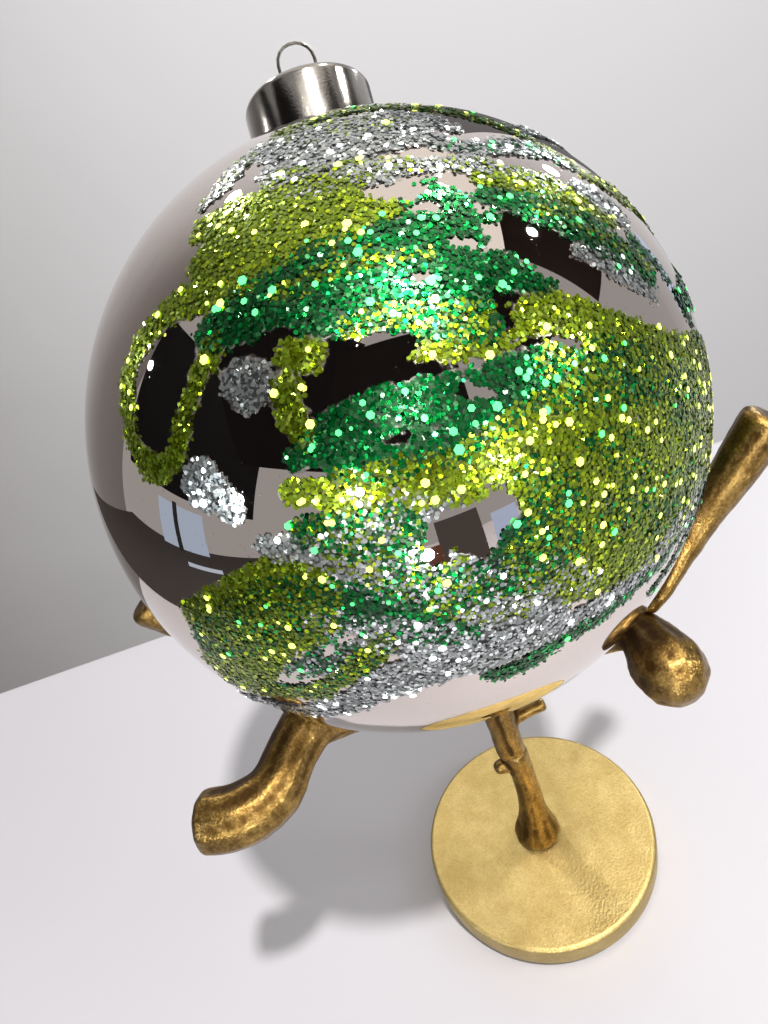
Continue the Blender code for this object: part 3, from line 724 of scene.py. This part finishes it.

# per colour: base colour, roughness, metal and glow of each tint; the glow is painted sparkle by emission,
# faint on the third tint, and the last tint is the painted glints
foils = {
    "lime": (((0.13, 0.20, 0.004), 0.30, 0.7, 0), ((0.22, 0.32, 0.006), 0.22, 1, 0),
             ((0.52, 0.66, 0.02), 0.16, 1, 0.05), ((0.90, 1.0, 0.20), 0.2, 0.2, 1.6)),
    "emerald": (((0.0, 0.06, 0.010), 0.30, 0.7, 0), ((0.0, 0.13, 0.022), 0.22, 1, 0),
                ((0.0, 0.40, 0.075), 0.16, 1, 0.05), ((0.12, 0.95, 0.26), 0.2, 0.2, 1.3)),
    "silver": (((0.26, 0.28, 0.275), 0.30, 0.7, 0), ((0.46, 0.49, 0.49), 0.22, 1, 0),
               ((0.80, 0.84, 0.84), 0.16, 1, 0.05), ((0.96, 1.0, 1.0), 0.2, 0.2, 1.8)),
}
coatNodes = {
    "lime": ("coat_lime_high", "coat_lime_low"),
    "emerald": ("coat_emerald",),
    "silver": ("coat_silver_top", "coat_silver_low"),
}


def modelFlake(facts):
    # one flake: a flat hexagon on top, closed below by a shallow point that sits in the glue
    deselectAll()
    depth = facts["reach"] * 0.34
    bpy.ops.mesh.primitive_cone_add(vertices=6, radius1=facts["reach"], radius2=0, depth=depth)
    piece = bpy.context.object
    bpy.ops.object.mode_set(mode="EDIT")
    bpy.ops.mesh.select_all(action="SELECT")
    bpy.ops.transform.rotate(value=pi, orient_axis="X", center_override=(0, 0, 0))
    bpy.ops.transform.translate(value=(0, 0, -facts["reach"] * 0.17))
    bpy.ops.object.mode_set(mode="OBJECT")
    settle(piece)
    places = pointsOf(piece)
    faces = [tuple(face.vertices) for face in piece.data.polygons]
    bpy.data.objects.remove(piece, do_unlink=True)
    return places, faces


def scatter(facts):
    # where the flakes lie: direction on the ball, colour, tint, tilt, size and turn
    chance = np.random.RandomState(facts["seed"])
    area = 4 * pi * (facts["radius"] / mm) ** 2
    count = int(area * facts["perSquareMm"])
    rise = chance.uniform(-0.80, 0.86, count)
    around = chance.uniform(-pi, pi, count)
    flat = np.sqrt(1 - rise ** 2)
    ways = np.stack([flat * np.sin(around), -flat * np.cos(around), rise], -1)
    edge, cover = layout(ways)
    total = sum(cover.values())
    keep = chance.uniform(0, 1.2, count) < total
    pickColour = chance.uniform(0, 1, count) * np.maximum(total, 1e-6)
    colour = np.where(pickColour < cover["lime"], 0,
                      np.where(pickColour < cover["lime"] + cover["emerald"], 1, 2))
    beside = (edge > 0) & (edge < facts["strayReach"]) & (total > 0)
    stray = beside & (chance.uniform(0, 1, count) < facts["strayShare"])
    keep |= stray
    return ways[keep], colour[keep], chance


def buildFlakes(facts):
    shape, faces = modelFlake(facts)
    ways, colour, chance = scatter(facts)
    count = len(ways)
    side = np.cross(ways, np.array([0.31, 0.17, 0.93]))
    side /= np.linalg.norm(side, axis=1)[:, None]
    fore = np.cross(ways, side)
    spread = np.where(chance.uniform(0, 1, count) < facts["proud"], facts["tilt"][1], facts["tilt"][0])
    lean = np.radians(np.clip(np.abs(chance.normal(0, 1, count)) * spread, 0, facts["tiltMost"]))
    leanWay = chance.uniform(0, 2 * pi, count)
    spin = chance.uniform(0, 2 * pi, count)
    size = chance.uniform(*facts["sizes"], count)
    height = chance.uniform(facts["low"], facts["high"], count)
    tint = chance.choice(4, count, p=facts["tints"])
    # painted glints: these flakes glow by emission, and are made bigger, less tilted and set on top
    glint = tint == facts["glint"]
    size = np.where(glint, size * chance.uniform(*facts["glintSizes"], count), size)
    lean = np.where(glint, lean * facts["glintLean"], lean)
    height = np.where(glint, facts["high"] + facts["glintLift"], height)
    slope = side * np.cos(leanWay)[:, None] + fore * np.sin(leanWay)[:, None]
    top = ways * np.cos(lean)[:, None] + slope * np.sin(lean)[:, None]
    one = np.cross(top, side * np.cos(spin)[:, None] + fore * np.sin(spin)[:, None])
    one /= np.linalg.norm(one, axis=1)[:, None]
    two = np.cross(top, one)
    spots = ways * height[:, None]
    corners = (spots[:, None, :]
               + one[:, None, :] * (shape[None, :, 0:1] * size[:, None, None])
               + two[:, None, :] * (shape[None, :, 1:2] * size[:, None, None])
               + top[:, None, :] * (shape[None, :, 2:3] * size[:, None, None]))
    over = np.linalg.norm(corners, axis=2).max(1) - facts["most"]      # nothing stands past the crust
    corners -= ways[:, None, :] * np.clip(over, 0, None)[:, None, None]
    turned = np.array(seatPlace.to_3x3())
    corners = corners @ turned.T + np.array(ballCentre)
    quarter = np.where(ways[:, 1] < 0, 0, 2) + np.where(ways[:, 0] < 0, 0, 1)
    for number, name in enumerate(("lime", "emerald", "silver")):
        tinted = [flakeFoil(f"{name} foil {i + 1}", *made) for i, made in enumerate(foils[name])]
        for side, part in enumerate(("FrontLeft", "FrontRight", "BackLeft", "BackRight")):
            chosen = np.nonzero((colour == number) & (quarter == side))[0]
            piece = joinFlakes(f"{name}Flakes{part}", corners[chosen], faces, tint[chosen], len(shape))
            for foil in tinted:                      # appended, so each flake keeps its tint
                piece.data.materials.append(foil)
            if side == 0:
                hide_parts(*coatNodes[name])
            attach(piece, "globe")
            print(piece.name, len(chosen), "flakes")


def joinFlakes(name, corners, faces, tint, each):
    count = len(corners)
    loops = np.concatenate([np.array(face) for face in faces])
    starts = np.concatenate([[0], np.cumsum([len(face) for face in faces])[:-1]])
    mesh = bpy.data.meshes.new(name)
    mesh.vertices.add(count * each)
    mesh.vertices.foreach_set("co", corners.astype(np.float32).ravel())
    mesh.loops.add(count * len(loops))
    allLoops = (loops[None, :] + (np.arange(count) * each)[:, None]).ravel()
    mesh.loops.foreach_set("vertex_index", allLoops.astype(np.int32))
    mesh.polygons.add(count * len(faces))
    allStarts = (starts[None, :] + (np.arange(count) * len(loops))[:, None]).ravel()
    mesh.polygons.foreach_set("loop_start", allStarts.astype(np.int32))
    mesh.polygons.foreach_set("use_smooth", np.zeros(count * len(faces), bool))
    mesh.polygons.foreach_set("material_index", np.repeat(tint, len(faces)).astype(np.int32))
    mesh.update(calc_edges=True)
    mesh.validate()
    piece = bpy.data.objects.new(name, mesh)
    bpy.context.scene.collection.objects.link(piece)
    return piece


buildBall(ballFacts, mirrorAndGlue())
print("ball built")
buildFlakes(flakeFacts)
print("glitter laid")

capFacts = {
    "radius": 13.3 * mm,
    "wall": 0.6 * mm,
    "shoulder": 1.6 * mm,
    "top": 71.28 * mm,
    "rim": 59.75 * mm,
    "sides": 128,
}


def buildCap(facts, made):
    deselectAll()
    height = facts["top"] - facts["rim"]
    bpy.ops.mesh.primitive_cylinder_add(vertices=facts["sides"], radius=facts["radius"], depth=height,
                                        location=(0, 0, facts["rim"] + height / 2))
    piece = settle(bpy.context.object)
    piece.name = "nickelCap"
    chooseEdges(piece, lambda a, b: min(a.z, b.z) > facts["top"] - 1e-5)
    bpy.ops.mesh.bevel(offset=facts["shoulder"], segments=7, profile=0.5)
    chooseFaces(piece, lambda centre, way: way.z < -0.9)
    bpy.ops.mesh.inset(thickness=0.18 * mm, depth=0)
    bpy.ops.mesh.inset(thickness=facts["wall"] - 0.18 * mm, depth=0)
    bpy.ops.mesh.extrude_region_move(TRANSFORM_OT_translate={"value": (0, 0, height - facts["wall"])})
    chooseFaces(piece, lambda centre, way: way.z > 0.999 and centre.z > facts["top"] - 1e-5)
    bpy.ops.mesh.inset(thickness=4.4 * mm, depth=0)
    bpy.ops.object.mode_set(mode="OBJECT")
    settle(piece, seatPlace)
    smoothShade(piece, 40)
    finishWith(piece, made)
    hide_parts("ornament_cap")
    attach(piece, "cap")


buildCap(capFacts, nickel("polished nickel", 0.07))
finishWith(frame["nodes"]["hanger"], nickel("nickel wire", 0.10))
print("cap built")

# studio


def tablePaint(colour):
    finish = Finish("white table", Roughness=0.5)
    worn = tuple(c * 0.97 for c in colour)
    finish.feed("Base Color", finish.mix(finish.cloud(9, 3, 0.6), colour, worn))
    return finish.material


tableFacts = {"back": 0.186, "front": -1.1, "left": -1.3, "right": 1.3, "wall": 1.3}


def slab(name, low, high, made):
    deselectAll()
    bpy.ops.mesh.primitive_cube_add(size=1, location=(Vector(low) + Vector(high)) / 2)
    piece = bpy.context.object
    piece.name = name
    piece.scale = Vector(high) - Vector(low)
    settle(piece)
    finishWith(piece, made)
    return piece


def wallPaint():
    # pale grey, with painted shade darkening it towards the far left
    finish = Finish("grey wall", Roughness=0.85)
    along = finish.node("ShaderNodeSeparateXYZ", {0: finish.place()}, out="X")
    tone = finish.cloud(3, 2, 0.5)
    # painted shade: darker grey blended in along X towards the left
    share = (along + tone * 0.2).between(-1.5, 0.25)
    finish.feed("Base Color", finish.mix(share, (0.36, 0.34, 0.335), (0.90, 0.90, 0.92)))
    return finish.material


def darkFloor():
    # what lies past the table's left end, seen only in the mirror
    deselectAll()
    bpy.ops.mesh.primitive_plane_add(size=1, location=(-0.85, -0.3, 0.0015))
    piece = bpy.context.object
    piece.name = "darkFloor"
    piece.scale = (0.98, 1.5, 1)
    finishWith(piece, Finish("dark floor", Base_Color=(0.02, 0.012, 0.01, 1), Roughness=0.9).material)
    piece.visible_camera = False
    piece.visible_diffuse = False
    piece.visible_shadow = False


def buildTable(facts):
    top = slab("tableTop", (facts["left"], facts["front"], -0.03), (facts["right"], facts["back"], 0),
               tablePaint((0.65, 0.64, 0.68)))
    chooseEdges(top, lambda a, b: min(a.y, b.y) > facts["back"] - 1e-5 and min(a.z, b.z) > -1e-5)
    bpy.ops.mesh.bevel(offset=0.004, segments=4)
    bpy.ops.object.mode_set(mode="OBJECT")
    slab("backdrop", (-3, facts["wall"], -2), (3, facts["wall"] + 0.02, 3), wallPaint())


def card(name, azimuth, elevation, far, wide, tall, colour, glow=0.0):
    # a board seen only in the mirror finish, square on to the ball
    way = Vector((cos(radians(elevation)) * cos(radians(azimuth)),
                  cos(radians(elevation)) * sin(radians(azimuth)), sin(radians(elevation))))
    deselectAll()
    bpy.ops.mesh.primitive_plane_add(size=1, location=ballCentre + way * far)
    piece = bpy.context.object
    piece.name = name
    piece.scale = (wide, tall, 1)
    piece.rotation_mode = "QUATERNION"
    piece.rotation_quaternion = way.to_track_quat("Z", "Y")
    finish = Finish(name, Roughness=1.0, Base_Color=(*(0 if glow else c for c in colour), 1))
    finish.shader.inputs["Specular IOR Level"].default_value = 0
    if glow:
        finish.shader.inputs["Emission Color"].default_value = (*colour, 1)
        finish.shader.inputs["Emission Strength"].default_value = glow
    finishWith(piece, finish.material)
    piece.visible_camera = False
    piece.visible_diffuse = False
    piece.visible_shadow = False


# azimuth, elevation, distance, width, height, colour and glow of each board
cards = {
    "darkRoom": (-172, 26, 1.02, 1.02, 0.72, (0.012, 0.011, 0.012), 0),
    "darkRoomHigh": (-140, 44, 1.0, 0.90, 0.80, (0.014, 0.012, 0.012), 0),
    "holder": (-93, 33, 0.98, 0.90, 0.86, (0.018, 0.015, 0.014), 0),
    "skylight": (-82, 68, 1.1, 0.34, 0.20, (1.0, 0.95, 0.88), 1.2),
    "sideDoor": (64, 5, 1.0, 0.30, 0.90, (0.34, 0.33, 0.34), 0.5),
    "ceiling": (42, 66, 1.6, 1.9, 1.5, (1.0, 0.945, 0.88), 1.05),
    "shelfNear": (-28, 40, 0.95, 0.36, 0.50, (0.016, 0.013, 0.012), 0),
    "shelfDark": (7, 32, 0.9, 0.34, 0.46, (0.024, 0.017, 0.014), 0),
    "windowLeft": (-174, -2, 0.95, 0.30, 0.20, (0.50, 0.62, 0.80), 0.9),
    "windowBar": (-176, -2, 0.94, 0.03, 0.22, (0.03, 0.03, 0.03), 0),
    "windowLow": (-168, -14, 0.80, 0.18, 0.08, (0.62, 0.72, 0.88), 0.9),
    "windowRight": (34, -6, 1.0, 0.10, 0.24, (0.55, 0.66, 0.85), 1.1),
    "brownThing": (-98, -14, 0.5, 0.13, 0.10, (0.26, 0.11, 0.07), 0.5),
    "greyThing": (-84, -10, 0.51, 0.12, 0.16, (0.13, 0.11, 0.10), 0.6),
    "paleThing": (-70, -11, 0.5, 0.07, 0.11, (0.55, 0.66, 0.92), 0.9),
}


def lamp(name, azimuth, elevation, far, size, power, colour, role):
    data = bpy.data.lights.new(name, "AREA")
    data.shape = "DISK"
    data.size = size
    data.energy = power
    data.color = colour
    made = bpy.data.objects.new(name, data)
    bpy.context.scene.collection.objects.link(made)
    way = Vector((cos(radians(elevation)) * cos(radians(azimuth)),
                  cos(radians(elevation)) * sin(radians(azimuth)), sin(radians(elevation))))
    made.location = ballCentre + way * far
    made.rotation_mode = "QUATERNION"
    made.rotation_quaternion = way.to_track_quat("Z", "Y")
    made.visible_diffuse = role != "spark"
    made.visible_glossy = role != "wash"
    if role == "wash":                               # this one looks at the wall behind the table
        made.rotation_quaternion = Vector((0.15, -0.95, 0.1)).to_track_quat("Z", "Y")


# azimuth, elevation, distance, size, power, colour and role of each lamp; the sparks only
# glint in the foil and the mirror, and the key lamp lights the scene
lamps = {
    "keyLamp": (-56, 67, 1.7, 0.09, 27, (1.0, 0.97, 0.94), "key"),
    "sparkA": (-97, 60, 0.80, 0.040, 1.6, (1.0, 0.95, 0.88), "spark"),
    "sparkB": (-58, 55, 0.80, 0.060, 3.0, (1.0, 0.95, 0.88), "spark"),
    "sparkC": (7, 38, 0.80, 0.040, 1.4, (1.0, 0.97, 0.92), "spark"),
    "sparkD": (160, 29, 0.80, 0.030, 0.9, (1.0, 0.97, 0.92), "spark"),
    "sparkE": (-112, 12, 0.80, 0.050, 2.0, (1.0, 0.98, 0.95), "spark"),
    "sparkF": (-66, 8, 0.80, 0.050, 2.0, (1.0, 0.98, 0.95), "spark"),
    "sparkG": (-32, 22, 0.80, 0.050, 2.0, (1.0, 0.98, 0.95), "spark"),
    "sparkI": (25, 58, 0.80, 0.045, 1.8, (1.0, 0.97, 0.92), "spark"),
    "sparkJ": (-86, 34, 0.80, 0.040, 1.6, (1.0, 0.97, 0.92), "spark"),
    "sparkK": (-150, 12, 0.80, 0.040, 1.6, (0.9, 0.96, 1.0), "spark"),
    "sparkL": (40, 20, 0.80, 0.045, 1.8, (0.9, 0.96, 1.0), "spark"),
    "sparkM": (-95, -10, 0.45, 0.030, 0.7, (0.95, 0.98, 1.0), "spark"),
    "sparkN": (110, 45, 0.80, 0.045, 1.8, (1.0, 0.97, 0.92), "spark"),
    "wallWash": (-14, 26, 1.1, 0.7, 5.0, (0.97, 0.98, 1.0), "wash"),
}


def buildStudio():
    buildTable(tableFacts)
    darkFloor()
    for name, facts in cards.items():
        card(name, *facts)
    for name, facts in lamps.items():
        lamp(name, *facts)
    world = bpy.data.worlds.new("room")
    world.use_nodes = True
    world.node_tree.nodes["Background"].inputs["Color"].default_value = (0.80, 0.78, 0.77, 1)
    world.node_tree.nodes["Background"].inputs["Strength"].default_value = 0.50
    bpy.context.scene.world = world
    bpy.context.scene.view_settings.view_transform = "Standard"


buildStudio()
print("studio set")
